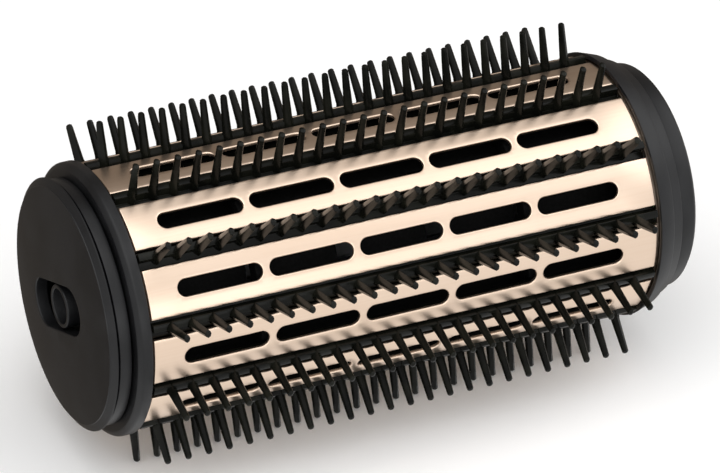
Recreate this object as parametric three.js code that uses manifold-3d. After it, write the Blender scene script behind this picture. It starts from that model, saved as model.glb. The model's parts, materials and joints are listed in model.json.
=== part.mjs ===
// Round barrel brush head of a hot-air styler: a vented gold barrel with twelve bristle strips, a free
// turning tip cap at one end and the coupling that locks into the styler's handle at the other.
// Millimetres, +Z up. The barrel's axis is level, along +X towards the coupling, and the head lies on
// two rows of bristle tips at z = 0.
import * as THREE from 'three';
import { mergeVertices } from 'three/addons/utils/BufferGeometryUtils.js';
import Module from 'manifold-3d';

const wasm = await Module();
wasm.setup();

// ---------- driving dimensions ----------
const SIDES = 36;                      // facets of a full turn; every ring shares them, so gaps stay even
const FIT_GAP = 0.3;                   // clearance between neighbouring pieces

const ROWS = 12;                       // bristle strips round the barrel
const ROW_STEP = 2 * Math.PI / ROWS;
const FIRST_ROW = ROW_STEP / 2;        // the topmost panel is centred on +Z, a strip either side of it
const BRISTLES = 24;                   // bristles in one strip
const BRISTLE_PITCH = 3.126;
const BRISTLE_BASE_R = 0.62;           // along the strip
const BRISTLE_NECK_R = 0.42;
const BRISTLE_BROAD = 1.4;             // each bristle is that much wider across the strip
const BRISTLE_NECK = 24.9;             // radius from the axis where the tip's point begins
const BRISTLE_TIP = 25.24;             // radius from the axis of the tip itself
const BRISTLE_SIDES = 6;

const BARREL_R = 19;
const BARREL_WALL = 1;
const BARREL_BORE = BARREL_R - BARREL_WALL;
const NECK_R = 18.5;                   // both ends are necked down to go under the collars
const BARREL_FRONT = -38.65;           // full diameter from here
const BARREL_REAR = 39.5;              // to here
const NECK_FRONT = -40.2;
const NECK_REAR = 40.9;

const VENTS = 5;                       // vent slots along one panel
const VENT_LENGTH = 12.7;
const VENT_WIDTH = 2.5;
const VENT_PITCH = 13.8;
const VENT_MIDDLE = -0.05;             // middle of the third vent

const RAIL_WIDTH = 2.65;               // the part of a strip that shows through the barrel
const RAIL_TOP = 19.5;
const FOOT_WIDTH = 4.8;                // the flange that holds a strip in, inside the barrel
const FOOT_TOP = 17.4;
const FOOT_BOTTOM = 16.7;
const STRIP_FRONT = -38.6;
const STRIP_REAR = 39.4;

const COLLAR_R = 19.6;
const LIP_BORE = NECK_R + 0.35;        // both collars' lips run over the barrel's necks
const COLLAR_EDGE = -38.95;            // the front collar's lip ends here
const COLLAR_FRONT = -41;
const COLLAR_FRONT_R = 18.6;
const COLLAR_WEB = -40.5;
const SPIGOT_R = 15.3;                 // the front collar's spigot, which carries the tip
const SPIGOT_BORE = 14.6;
const FLANGE_R = 16.4;
const FLANGE_FRONT = -43;
const FLANGE_REAR = -42.2;

const BAND_R = 17.65;                  // the band that traps the spigot's flange behind the tip cap
const BAND_BORE = FLANGE_R + FIT_GAP;
const BAND_LIP_BORE = SPIGOT_R + FIT_GAP;
const BAND_FRONT = -43.1;
const BAND_REAR = -41.3;
const BAND_LIP = FLANGE_REAR + FIT_GAP;

const CAP_BACK = -43.4;
const CAP_R = 18.1;
const CAP_RIM = -44.1;                 // the bevel starts here
const CAP_FACE_R = 17;
const CAP_FACE = -44.5;
const CAP_SHOULDER = -45.05;
const CAP_SHOULDER_R = 13;
const CAP_CROWN = -45.3;               // the dome's highest part, level as far as the finger window
const CAP_CROWN_R = 8.7;
const WINDOW_LENGTH = 17;              // the finger window, a slot that leaves room either side of the axle
const WINDOW_TILT = 22;                // degrees from level

const AXLE_R = 3.2;                    // the hollow axle that the tip cap turns on
const AXLE_BORE = 2.6;
const AXLE_FRONT = -44.9;
const AXLE_REAR = -41.3;
const AXLE_FLANGE_R = 5.6;
const AXLE_FLANGE = -42;
const WINDOW_WIDTH = 2 * (AXLE_R + FIT_GAP);

const SCREW_HEAD_R = 2.2;
const SCREW_R = 1;
const SCREW_HOLE_R = SCREW_R + FIT_GAP;
const SCREW_TOP = -43.2;
const SCREW_SEAT = AXLE_FLANGE - FIT_GAP;
const SCREW_END = -36.5;
const SCREW_SLOT = 0.6;

const SHAFT_R = 3.2;                   // across the corners of the hexagonal drive shaft
const SHAFT_BORE = SHAFT_R + 0.4;
const SHAFT_FRONT = -40.7;
const SHAFT_REAR = 42;

const HUB_RIM_R = 16.3;                // hub rims stand just inside the strips' feet
const HUB_RIM_BORE = 13.2;
const HUB_BOSS_R = 6;
const TOOTH_R = 17.5;                  // teeth between the feet reach the barrel's bore
const TOOTH_HALF = THREE.MathUtils.degToRad(4);
const SPOKES = 4;                      // halfway between the windows that face up, down, front and back
const SPOKE_WIDTH = 2;
const FRONT_HUB = [-40.1, -36.2];
const FRONT_BOSS = [-41, -33.5];
const REAR_HUB = [35.6, 40];
const REAR_BOSS = [33, 40.6];
const SUPPORT_RINGS = [-20.75, 20.65]; // at the webs between vents
const SUPPORT_THICK = 2;
const SUPPORT_BORE = 15.2;
const SLEEVE_R = 14.9;                 // inner sleeve, which spreads the air and keeps hair out
const SLEEVE_BORE = 14.2;
const SLEEVE = [-35.9, 35.3];
const SLEEVE_HOLE = [3, 2.2];          // its holes, along and across, lie under the webs between vents

const JOURNAL_R = 14.2;                // the rear hub's journal runs in the coupling's bush
const JOURNAL_REAR = 44.9;
const GROOVE_R = 13.7;
const GROOVE = [43.2, 44.4];
const PIN_R = 1;
const PIN_HOLE_R = PIN_R + FIT_GAP;
const PIN_LENGTH = 11.4;
const PIN_X = 37.8;
const SOCKET_R = 5.2;                  // drive socket, which takes the motor's spindle
const SOCKET = [40.9, 46];

const BUSH_BORE = JOURNAL_R + FIT_GAP;
const BUSH_R = 15.8;
const BUSH_FLANGE_R = 16.8;
const BUSH_FRONT = 40.3;
const BUSH_FLANGE = 40.9;
const BUSH_REAR = 43.2;
const CLIP_BORE = GROOVE_R + FIT_GAP;  // retaining ring behind the bush, sprung into the journal's groove
const CLIP_R = 15.5;
const CLIP = [43.5, 44.1];
const CLIP_MOUTH = 4;

const HOUSING_FRONT = 39.85;           // coupling housing: a lip, a tapered band and a second step
const HOUSING_WEB = 41.2;
const HOUSING_STEP = 42.3;
const HOUSING_REAR = 44.2;
const HOUSING_BAND_R = 18.8;
const HOUSING_STEP_R = 18.2;
const HOUSING_REAR_R = 17.7;
const HOUSING_BORE = BUSH_R + FIT_GAP;

const LOCK_FRONT = 44.5;               // locking ring with the bayonet's three lugs
const LOCK_REAR = 47.2;
const LOCK_R = 16.9;
const LOCK_REAR_R = 16.3;
const LOCK_BORE = 15;
const LUGS = 3;
const LUG_R = 13.7;
const LUG_FRONT = 46.1;
const LUG_HALF = THREE.MathUtils.degToRad(11);
const SEAL = [45.2, 45.8];             // rubber lip against the handle's nozzle
const SEAL_R = 14.7;
const SEAL_BORE = 13.5;

const LEAN = Math.cos(FIRST_ROW);      // the lowest rows stand half a step off the vertical
const AXIS_HEIGHT = BRISTLE_TIP * LEAN;
const MIDDLE = (CAP_CROWN + LOCK_REAR) / 2;

// ---------- materials ----------
function finish(name, color, roughness, metalness) {
  return new THREE.MeshStandardMaterial({ name, color, roughness, metalness });
}
const gold = () => finish('champagne_gold', 0xd9b48a, 0.3, 1);
const glossBlack = () => finish('gloss_black_plastic', 0x14140f, 0.25, 0);
const satinBlack = () => finish('satin_black_plastic', 0x1c1a1b, 0.45, 0);
const innerBlack = () => finish('inner_black_plastic', 0x121212, 0.6, 0);
const steel = () => finish('steel', 0xb8b8ba, 0.35, 1);
const acetal = () => finish('acetal', 0xe4e1d6, 0.5, 0);
const rubber = () => finish('rubber', 0x202020, 0.85, 0);

// ---------- solids ----------
// A closed geometry as a manifold solid, with its faces turned outwards.
function solid(geometry) {
  const bare = geometry.clone();
  bare.deleteAttribute('normal');
  bare.deleteAttribute('uv');
  const merged = mergeVertices(bare, 1e-4);
  const place = merged.attributes.position;
  const [a, b, c] = [new THREE.Vector3(), new THREE.Vector3(), new THREE.Vector3()];
  const kept = [];
  let volume = 0;
  for (let i = 0; i < merged.index.count; i += 3) {
    const [p, q, r] = [0, 1, 2].map((k) => merged.index.getX(i + k));
    if (p === q || q === r || r === p) continue;
    kept.push(p, q, r);
    a.fromBufferAttribute(place, p);
    b.fromBufferAttribute(place, q);
    c.fromBufferAttribute(place, r);
    volume += a.dot(b.cross(c));
  }
  if (volume < 0) kept.reverse();
  const vertProperties = new Float32Array(place.array);
  return new wasm.Manifold(new wasm.Mesh({ numProp: 3, vertProperties, triVerts: new Uint32Array(kept) }));
}

function geometryOf(body) {
  const mesh = body.getMesh();
  const geometry = new THREE.BufferGeometry();
  geometry.setAttribute('position', new THREE.BufferAttribute(new Float32Array(mesh.vertProperties), 3));
  geometry.setIndex(new THREE.BufferAttribute(new Uint32Array(mesh.triVerts), 1));
  geometry.computeVertexNormals();
  return geometry;
}

// A closed section of [x, radius] points turned about the X axis.
function turned(section, sides = SIDES, phase = Math.PI / sides) {
  const onAxis = section[0][1] === 0 && section.at(-1)[1] === 0;
  const loop = onAxis ? section : [...section, section[0]];
  const points = loop.map(([x, radius]) => new THREE.Vector2(radius, x));
  const geometry = new THREE.LatheGeometry(points, sides, phase);
  return solid(geometry.rotateZ(-Math.PI / 2));
}

function rod(radius, from, to, sides = SIDES) {
  return turned([[from, 0], [from, radius], [to, radius], [to, 0]], sides);
}

function ring(bore, radius, from, to, sides = SIDES) {
  return turned([[from, bore], [from, radius], [to, radius], [to, bore]], sides);
}

// A flat shape in the Y, Z plane, carried along X.
const ALONG_X = new THREE.Matrix4().set(0, 0, 1, 0, 1, 0, 0, 0, 0, 1, 0, 0, 0, 0, 0, 1);
function prism(shape, from, to) {
  const options = { depth: to - from, bevelEnabled: false, curveSegments: 5 };
  const geometry = new THREE.ExtrudeGeometry(shape, options);
  return solid(geometry.applyMatrix4(ALONG_X).translate(from, 0, 0));
}

function block(size, centre) {
  return solid(new THREE.BoxGeometry(...size).translate(...centre));
}

// A slot with round ends, along the shape's first axis.
function obround(length, width) {
  const reach = (length - width) / 2;
  const shape = new THREE.Shape();
  shape.absarc(reach, 0, width / 2, -Math.PI / 2, Math.PI / 2);
  shape.absarc(-reach, 0, width / 2, Math.PI / 2, 3 * Math.PI / 2);
  return shape;
}

// The same tool repeated round the axis.
function round(count, tool, start = 0) {
  const copies = [];
  for (let i = 0; i < count; i += 1) {
    const turn = THREE.MathUtils.radToDeg(start + i * 2 * Math.PI / count);
    copies.push(tool.rotate([turn, 0, 0]));
  }
  return copies;
}

function joined(bodies) {
  return bodies.reduce((whole, next) => whole.add(next));
}

function polar(radius, angle) {
  return new THREE.Vector2(-radius * Math.sin(angle), radius * Math.cos(angle));
}

// ---------- the barrel ----------
function ventTool() {
  const shape = obround(VENT_LENGTH, VENT_WIDTH);
  const options = { depth: 4 * BARREL_WALL, bevelEnabled: false, curveSegments: 2 };
  const geometry = new THREE.ExtrudeGeometry(shape, options).translate(0, 0, BARREL_R - 2.5 * BARREL_WALL);
  const row = [];
  for (let i = 0; i < VENTS; i += 1) {
    const x = VENT_MIDDLE + (i - (VENTS - 1) / 2) * VENT_PITCH;
    row.push(solid(geometry.clone().translate(x, 0, 0)));
  }
  return joined(row);
}

function heatBarrel() {
  const tube = turned([
    [NECK_FRONT, BARREL_BORE], [NECK_FRONT, NECK_R], [BARREL_FRONT, NECK_R], [BARREL_FRONT, BARREL_R],
    [BARREL_REAR, BARREL_R], [BARREL_REAR, NECK_R], [NECK_REAR, NECK_R], [NECK_REAR, BARREL_BORE],
  ]);
  const [from, to] = [STRIP_FRONT - FIT_GAP, STRIP_REAR + FIT_GAP];
  const slot = block(
    [to - from, RAIL_WIDTH + 2 * FIT_GAP, 4 * BARREL_WALL],
    [(from + to) / 2, 0, BARREL_R],
  );
  const cuts = [...round(ROWS, slot, FIRST_ROW), ...round(ROWS, ventTool())];
  return cuts.reduce((body, cut) => body.subtract(cut), tube);
}

// ---------- a bristle strip, lying along the top of the barrel ----------
function bristle(x) {
  const rootDepth = 0.4;
  const profile = [
    [0, RAIL_TOP - rootDepth], [BRISTLE_BASE_R, RAIL_TOP - rootDepth],
    [BRISTLE_NECK_R, BRISTLE_NECK], [0, BRISTLE_TIP],
  ].map(([radius, height]) => new THREE.Vector2(radius, height));
  const geometry = new THREE.LatheGeometry(profile, BRISTLE_SIDES).rotateX(Math.PI / 2);
  return solid(geometry.scale(1, BRISTLE_BROAD, 1).translate(x, 0, 0));
}

function bristleStrip() {
  const section = new THREE.Shape([
    [-FOOT_WIDTH / 2, FOOT_BOTTOM], [FOOT_WIDTH / 2, FOOT_BOTTOM], [FOOT_WIDTH / 2, FOOT_TOP],
    [RAIL_WIDTH / 2, FOOT_TOP], [RAIL_WIDTH / 2, RAIL_TOP], [-RAIL_WIDTH / 2, RAIL_TOP],
    [-RAIL_WIDTH / 2, FOOT_TOP], [-FOOT_WIDTH / 2, FOOT_TOP],
  ].map(([y, z]) => new THREE.Vector2(y, z)));
  const pieces = [prism(section, STRIP_FRONT, STRIP_REAR)];
  for (let i = 0; i < BRISTLES; i += 1) {
    pieces.push(bristle((i - (BRISTLES - 1) / 2) * BRISTLE_PITCH));
  }
  return joined(pieces);
}

// ---------- front end ----------
function frontCollar() {
  return turned([
    [FLANGE_FRONT, SPIGOT_BORE], [FLANGE_FRONT, FLANGE_R], [FLANGE_REAR, FLANGE_R], [FLANGE_REAR, SPIGOT_R],
    [COLLAR_FRONT, SPIGOT_R], [COLLAR_FRONT, COLLAR_FRONT_R], [COLLAR_WEB + FIT_GAP, COLLAR_R],
    [COLLAR_EDGE, COLLAR_R], [COLLAR_EDGE, LIP_BORE], [COLLAR_WEB, LIP_BORE], [COLLAR_WEB, SPIGOT_BORE],
  ]);
}

function tipBand() {
  return turned([
    [BAND_FRONT, BAND_BORE], [BAND_FRONT, BAND_R], [BAND_REAR, BAND_R], [BAND_REAR, BAND_LIP_BORE],
    [BAND_LIP, BAND_LIP_BORE], [BAND_LIP, BAND_BORE],
  ]);
}

function tipCap() {
  const disc = turned([
    [CAP_BACK, 0], [CAP_BACK, CAP_R], [CAP_RIM, CAP_R], [CAP_FACE, CAP_FACE_R],
    [CAP_SHOULDER, CAP_SHOULDER_R], [CAP_CROWN, CAP_CROWN_R], [CAP_CROWN, 0],
  ]);
  const window = prism(obround(WINDOW_LENGTH, WINDOW_WIDTH), CAP_CROWN - 1, CAP_BACK + 1);
  return disc.subtract(window.rotate([-WINDOW_TILT, 0, 0]));
}

function tipAxle() {
  return turned([
    [AXLE_FRONT, AXLE_BORE], [AXLE_FRONT, AXLE_R], [AXLE_FLANGE, AXLE_R], [AXLE_FLANGE, AXLE_FLANGE_R],
    [AXLE_REAR, AXLE_FLANGE_R], [AXLE_REAR, SCREW_HOLE_R], [AXLE_FLANGE, SCREW_HOLE_R],
    [AXLE_FLANGE, AXLE_BORE],
  ], 16);
}

function hubScrew() {
  const head = turned([
    [SCREW_TOP, 0], [SCREW_TOP, SCREW_HEAD_R], [SCREW_SEAT, SCREW_HEAD_R], [SCREW_SEAT, SCREW_R],
    [SCREW_END, SCREW_R], [SCREW_END, 0],
  ], 12);
  const slot = block([SCREW_SLOT, 3 * SCREW_R, SCREW_SLOT], [SCREW_TOP, 0, 0]);
  return head.subtract(slot).subtract(slot.rotate([90, 0, 0]));
}

// ---------- hubs and rings inside the barrel ----------
// A rim whose teeth stand between the strips' feet.
function toothedShape() {
  const outline = [];
  for (let i = 0; i < ROWS; i += 1) {
    const panel = i * ROW_STEP;
    outline.push(
      polar(HUB_RIM_R, panel - TOOTH_HALF), polar(TOOTH_R, panel - TOOTH_HALF),
      polar(TOOTH_R, panel + TOOTH_HALF), polar(HUB_RIM_R, panel + TOOTH_HALF),
      polar(HUB_RIM_R, panel + ROW_STEP / 2),
    );
  }
  return new THREE.Shape(outline);
}

function circleHole(radius, sides = SIDES) {
  const points = [];
  for (let i = 0; i < sides; i += 1) {
    points.push(polar(radius, (i + 0.5) * 2 * Math.PI / sides));
  }
  return new THREE.Path(points);
}

// The window between two spokes, from the boss to the rim.
function spokeWindow(index) {
  const middle = index * 2 * Math.PI / SPOKES;
  const points = [];
  const steps = 6;
  for (const radius of [HUB_BOSS_R, HUB_RIM_BORE]) {
    const half = Math.PI / SPOKES - Math.asin(SPOKE_WIDTH / 2 / radius);
    const side = radius === HUB_BOSS_R ? 1 : -1;
    for (let i = 0; i <= steps; i += 1) {
      points.push(polar(radius, middle + side * half * (2 * i / steps - 1)));
    }
  }
  return new THREE.Path(points);
}

function hub(plate, boss) {
  const shape = toothedShape();
  for (let i = 0; i < SPOKES; i += 1) {
    shape.holes.push(spokeWindow(i));
  }
  const body = prism(shape, ...plate).add(rod(HUB_BOSS_R, ...boss, 24));
  return body.subtract(rod(SHAFT_BORE, boss[0] - 1, boss[1] + 1, 6));
}

function rearHub() {
  const sleeve = ring(HUB_RIM_BORE, JOURNAL_R, REAR_HUB[1] - 1, JOURNAL_REAR);
  const journal = sleeve.subtract(ring(GROOVE_R, JOURNAL_R + 1, ...GROOVE));
  return hub(REAR_HUB, REAR_BOSS).add(journal).subtract(pin(PIN_HOLE_R, PIN_LENGTH + 2));
}

function supportRing(x) {
  const shape = toothedShape();
  shape.holes.push(circleHole(SUPPORT_BORE));
  return prism(shape, x - SUPPORT_THICK / 2, x + SUPPORT_THICK / 2);
}

function innerSleeve() {
  const tube = ring(SLEEVE_BORE, SLEEVE_R, ...SLEEVE);
  const webs = [];
  for (let i = 1; i < VENTS; i += 1) {
    const x = VENT_MIDDLE + (i - VENTS / 2) * VENT_PITCH;
    webs.push(block([SLEEVE_HOLE[0], SLEEVE_HOLE[1], 4], [x, 0, SLEEVE_R]));
  }
  return round(ROWS, joined(webs)).reduce((body, cut) => body.subtract(cut), tube);
}

// ---------- drive ----------
function pin(radius, length) {
  return rod(radius, -length / 2, length / 2, 12).rotate([0, 90, 0]).translate([PIN_X, 0, 0]);
}

function driveShaft() {
  const tapped = rod(SCREW_HOLE_R, SHAFT_FRONT - 1, SCREW_END + FIT_GAP, 12);
  return rod(SHAFT_R, SHAFT_FRONT, SHAFT_REAR, 6).subtract(tapped).subtract(pin(PIN_HOLE_R, 4 * SHAFT_R));
}

function driveSocket() {
  return rod(SOCKET_R, ...SOCKET, 24).subtract(rod(SHAFT_BORE, SOCKET[0] - 1, SOCKET[1] + 1, 6));
}

function retainingRing() {
  const mouth = block([4, CLIP_MOUTH, 2 * CLIP_R], [(CLIP[0] + CLIP[1]) / 2, 0, CLIP_R]);
  return ring(CLIP_BORE, CLIP_R, ...CLIP).subtract(mouth);
}

// ---------- the coupling, which stays still in the handle ----------
function bearingBush() {
  return turned([
    [BUSH_FRONT, BUSH_BORE], [BUSH_FRONT, BUSH_FLANGE_R], [BUSH_FLANGE, BUSH_FLANGE_R],
    [BUSH_FLANGE, BUSH_R], [BUSH_REAR, BUSH_R], [BUSH_REAR, BUSH_BORE],
  ]);
}

function couplingHousing() {
  return turned([
    [HOUSING_FRONT, LIP_BORE], [HOUSING_FRONT, COLLAR_R], [HOUSING_STEP, HOUSING_BAND_R],
    [HOUSING_STEP, HOUSING_STEP_R], [HOUSING_REAR, HOUSING_REAR_R], [HOUSING_REAR, HOUSING_BORE],
    [HOUSING_WEB, HOUSING_BORE], [HOUSING_WEB, LIP_BORE],
  ]);
}

function lockingRing() {
  const shell = turned([
    [LOCK_FRONT, LOCK_BORE], [LOCK_FRONT, LOCK_R], [LOCK_REAR, LOCK_REAR_R], [LOCK_REAR, LOCK_BORE],
  ]);
  const into = LOCK_BORE + 0.5;
  const lug = new THREE.Shape([
    polar(LUG_R, -LUG_HALF), polar(into, -LUG_HALF), polar(into, LUG_HALF), polar(LUG_R, LUG_HALF),
  ]);
  return joined([shell, ...round(LUGS, prism(lug, LUG_FRONT, LOCK_REAR))]);
}

// ---------- assembly ----------
const group = new THREE.Group();
group.position.set(-MIDDLE, 0, AXIS_HEIGHT);

function piece(parent, name, geometry, material) {
  const mesh = new THREE.Mesh(geometry, material);
  mesh.name = name;
  parent.add(mesh);
  return mesh;
}

const coupling = new THREE.Group();
piece(coupling, 'coupling_housing', geometryOf(couplingHousing()), satinBlack());
piece(coupling, 'bearing_bush', geometryOf(bearingBush()), acetal());
piece(coupling, 'locking_ring', geometryOf(lockingRing()), satinBlack());
piece(coupling, 'air_seal', geometryOf(ring(SEAL_BORE, SEAL_R, ...SEAL)), rubber());

const barrel = new THREE.Group();
piece(barrel, 'heat_barrel', geometryOf(heatBarrel()), gold());
piece(barrel, 'front_collar', geometryOf(frontCollar()), satinBlack());
piece(barrel, 'front_hub', geometryOf(hub(FRONT_HUB, FRONT_BOSS)), innerBlack());
piece(barrel, 'rear_hub', geometryOf(rearHub()), innerBlack());
SUPPORT_RINGS.forEach((x, i) => {
  piece(barrel, `support_ring_${i + 1}`, geometryOf(supportRing(x)), innerBlack());
});
piece(barrel, 'inner_sleeve', geometryOf(innerSleeve()), innerBlack());
piece(barrel, 'drive_shaft', geometryOf(driveShaft()), steel());
piece(barrel, 'drive_pin', geometryOf(pin(PIN_R, PIN_LENGTH)), steel());
piece(barrel, 'drive_socket', geometryOf(driveSocket()), steel());
piece(barrel, 'retaining_ring', geometryOf(retainingRing()), steel());
piece(barrel, 'tip_axle', geometryOf(tipAxle()), satinBlack());
piece(barrel, 'hub_screw', geometryOf(hubScrew()), steel());

const stripGeometry = geometryOf(bristleStrip());
for (let i = 0; i < ROWS; i += 1) {
  const strip = piece(barrel, `bristle_strip_${String(i + 1).padStart(2, '0')}`, stripGeometry, glossBlack());
  strip.rotation.x = FIRST_ROW + i * ROW_STEP;
}

const tip = new THREE.Group();
piece(tip, 'tip_cap', geometryOf(tipCap()), satinBlack());
piece(tip, 'tip_band', geometryOf(tipBand()), satinBlack());

group.add(coupling, barrel, tip);

export default group;
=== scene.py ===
# The looks of a round barrel brush head: a vented gold tube with twelve strips of blunt bristles, a domed tip
# cap that turns freely at one end, and at the other the coupling that locks into a hot-air styler's handle.
# Metres, +Z up, the axis level along +X towards the coupling.
import json
import math

import bmesh
import bpy
from bpy.props import FloatProperty, FloatVectorProperty, IntProperty, PointerProperty
from mathutils import Matrix, Vector


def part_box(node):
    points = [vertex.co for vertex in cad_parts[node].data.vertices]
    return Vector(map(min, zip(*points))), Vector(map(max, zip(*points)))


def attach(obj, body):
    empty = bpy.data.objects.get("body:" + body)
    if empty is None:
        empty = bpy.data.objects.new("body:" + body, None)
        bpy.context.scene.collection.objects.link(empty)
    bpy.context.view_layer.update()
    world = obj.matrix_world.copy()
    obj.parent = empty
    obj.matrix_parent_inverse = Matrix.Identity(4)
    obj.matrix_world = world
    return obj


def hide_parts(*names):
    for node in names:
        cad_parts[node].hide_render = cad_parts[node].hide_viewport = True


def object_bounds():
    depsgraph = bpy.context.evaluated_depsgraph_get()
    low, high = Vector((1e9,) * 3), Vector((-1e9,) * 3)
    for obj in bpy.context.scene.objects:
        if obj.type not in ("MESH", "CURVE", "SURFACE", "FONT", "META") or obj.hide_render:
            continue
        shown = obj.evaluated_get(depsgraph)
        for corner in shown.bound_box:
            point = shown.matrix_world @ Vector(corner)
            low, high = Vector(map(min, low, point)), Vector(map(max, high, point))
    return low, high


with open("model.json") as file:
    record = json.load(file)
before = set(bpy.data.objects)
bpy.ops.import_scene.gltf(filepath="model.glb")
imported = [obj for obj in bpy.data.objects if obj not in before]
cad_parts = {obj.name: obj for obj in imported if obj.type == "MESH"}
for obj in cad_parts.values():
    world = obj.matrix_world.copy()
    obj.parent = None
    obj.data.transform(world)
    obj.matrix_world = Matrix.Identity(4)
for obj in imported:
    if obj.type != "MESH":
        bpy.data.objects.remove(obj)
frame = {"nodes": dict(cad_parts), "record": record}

bl_info = {
    "name": "Round Barrel Brush Head",
    "version": (1, 0, 0),
    "blender": (4, 5, 0),
    "location": "View3D > Sidebar > Brush Head",
    "description": "Builds the brush head's visible pieces and their finishes round its CAD frame",
    "category": "Object",
}

CAD_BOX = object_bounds()
MM = 0.001
ROWS = 12                     # bristle strips, and panels between them
ROW_STEP = 2 * math.pi / ROWS
ROUND = 128                   # steps of a full turn
SMALL_ROUND = 64
SOCKET_ROUND = 96             # a whole number of steps for each of the bore's six sides
QUARTER = [math.radians(angle) for angle in (0, 22.5, 45, 67.5, 90)]
TOUCHING = 0.002 * MM         # vertices closer than this are one
SHARP = math.radians(34)      # faces that meet at more than this keep a crisp edge
CAP_SHARP = math.radians(12)  # the same on the tip cap, low enough for the fine step round its face
AXIS_Z = (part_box("tip_cap")[0].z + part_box("tip_cap")[1].z) / 2
AXIS = Vector((0, 0, AXIS_Z))
HEX = math.pi / 3             # from one side of a hexagon to the next


def span(node):
    """Where a CAD node begins and ends along the axis."""
    low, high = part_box(node)
    return low.x, high.x


STRIP_SPAN = span("bristle_strip_01")


# ---------- sizes and colours ----------
def size(name, description, millimetres):
    return FloatProperty(
        name=name, description=description, default=millimetres * MM, min=0, unit="LENGTH", precision=5
    )


def ratio(name, description, default, least):
    return FloatProperty(name=name, description=description, default=default, min=least)


def turn_of(name, description, degrees):
    return FloatProperty(name=name, description=description, default=math.radians(degrees), subtype="ANGLE")


def colour(name, description, rgb):
    return FloatVectorProperty(name=name, description=description, default=rgb, subtype="COLOR", min=0, max=1)


class BarrelSizes(bpy.types.PropertyGroup):
    """Sizes of the gold tube"""
    radius: size("Radius", "Outside of the gold tube", 19)
    wall: size("Wall", "Thickness of the tube", 0.5)
    neck_drop: size("Neck drop", "How far both ends are necked down to go under the collars", 0.5)
    front_neck: size("Front neck", "Length of the neck under the front collar", 1.55)
    rear_neck: size("Rear neck", "Length of the neck under the coupling", 1.4)
    neck_bend: size("Neck bend", "Length over which the tube narrows to a neck", 0.12)
    slot_end: size("Slot end", "Solid band between a strip's slot and the tube's end", 1.25)
    slot_width: size("Slot width", "Width of the slots that the strips stand in", 2.85)
    vents: IntProperty(name="Vents", description="Vents along one panel", default=5, min=1)
    vent_length: size("Vent length", "Length of one vent", 12.7)
    vent_width: size("Vent width", "Width of one vent", 2.5)
    vent_pitch: size("Vent pitch", "From one vent to the next", 13.8)
    vent_middle: size("Vent middle", "From the tube's front end to the middle of its vents", 40.15)
    rim: size("Rim", "Rounding of the rims of vents and slots", 0.19)


class StripSizes(bpy.types.PropertyGroup):
    """Sizes of one bristle strip"""
    bristles: IntProperty(name="Bristles", description="Bristles in one strip", default=24, min=1)
    pitch: size("Pitch", "From one bristle to the next", 3.126)
    middle: size("Middle", "From the strip's front end to the middle of its bristles", 38.6)
    tip: size("Tip", "From the axis to the end of a bristle", 25.2)
    tip_radius: size("Tip radius", "Half a bristle's thickness near its tip", 0.52)
    base_radius: size("Base radius", "Half a bristle's thickness above its root", 0.7)
    root_radius: size("Root radius", "Half the thickness of the root's flare on the rail", 0.8)
    root_height: size("Root height", "Height of the root's flare", 0.5)
    hollow: ratio("Hollow", "Radius between a bristle's four ridges over that of the ridges", 0.84, least=0.5)
    broad: ratio("Broad", "Breadth of a bristle over its thickness", 1.24, least=1)
    rail_top: size("Rail top", "From the axis to the top of the rail", 19.5)
    rail_width: size("Rail width", "Width of the rail at the tube's surface", 2.6)
    ridge_width: size("Ridge width", "Width of the raised ridge that the bristles stand on", 1.1)
    ridge_shift: size("Ridge shift", "How far the ridge stands to one side of the rail", 0.35)
    ledge: size("Ledge", "From the axis to the ledges either side of the ridge", 18.2)
    crest: size("Crest", "Rounding of the rail's edges", 0.14)
    foot_width: size("Foot width", "Width of the foot inside the tube", 4.8)
    foot_top: size("Foot top", "From the axis to the top of the foot", 17.4)
    foot_bottom: size("Foot bottom", "From the axis to the bottom of the foot", 16.7)


class TipSizes(bpy.types.PropertyGroup):
    """Sizes of the tip cap and the band behind it"""
    radius: size("Radius", "Radius of the tip cap", 18.1)
    face_radius: size("Face radius", "Radius where the domed face meets the bevel", 17)
    dome: size("Dome", "Height of the domed face", 0.9)
    dome_power: ratio("Dome power", "How late the face falls away", 2.5, least=1)
    lip: size("Lip", "Height of the fine step round the face", 0.14)
    bevel: size("Bevel", "Depth of the bevel round the face", 0.75)
    window_length: size("Window length", "Length of the finger window", 17)
    window_width: size("Window width", "Width of the finger window", 7)
    window_tilt: turn_of("Window tilt", "Turn of the window from level", 22)
    window_rim: size("Window rim", "Rounding of the window's edge", 0.25)
    even_radius: size("Even radius", "Where the loops round the window have become circles", 10)
    edge: size("Edge", "Rounding of the cap's rear edge", 0.14)
    band_radius: size("Band radius", "Outside of the band", 17.65)
    band_seat: size("Band seat", "Radius of the band's seat for the front collar's flange", 16.7)
    band_bore: size("Band bore", "Radius of the bore through the band's lip", 15.6)
    band_lip: size("Band lip", "Thickness of the band's lip behind the flange", 0.6)
    band_edge: size("Band edge", "Rounding of the band's edges", 0.15)


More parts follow.
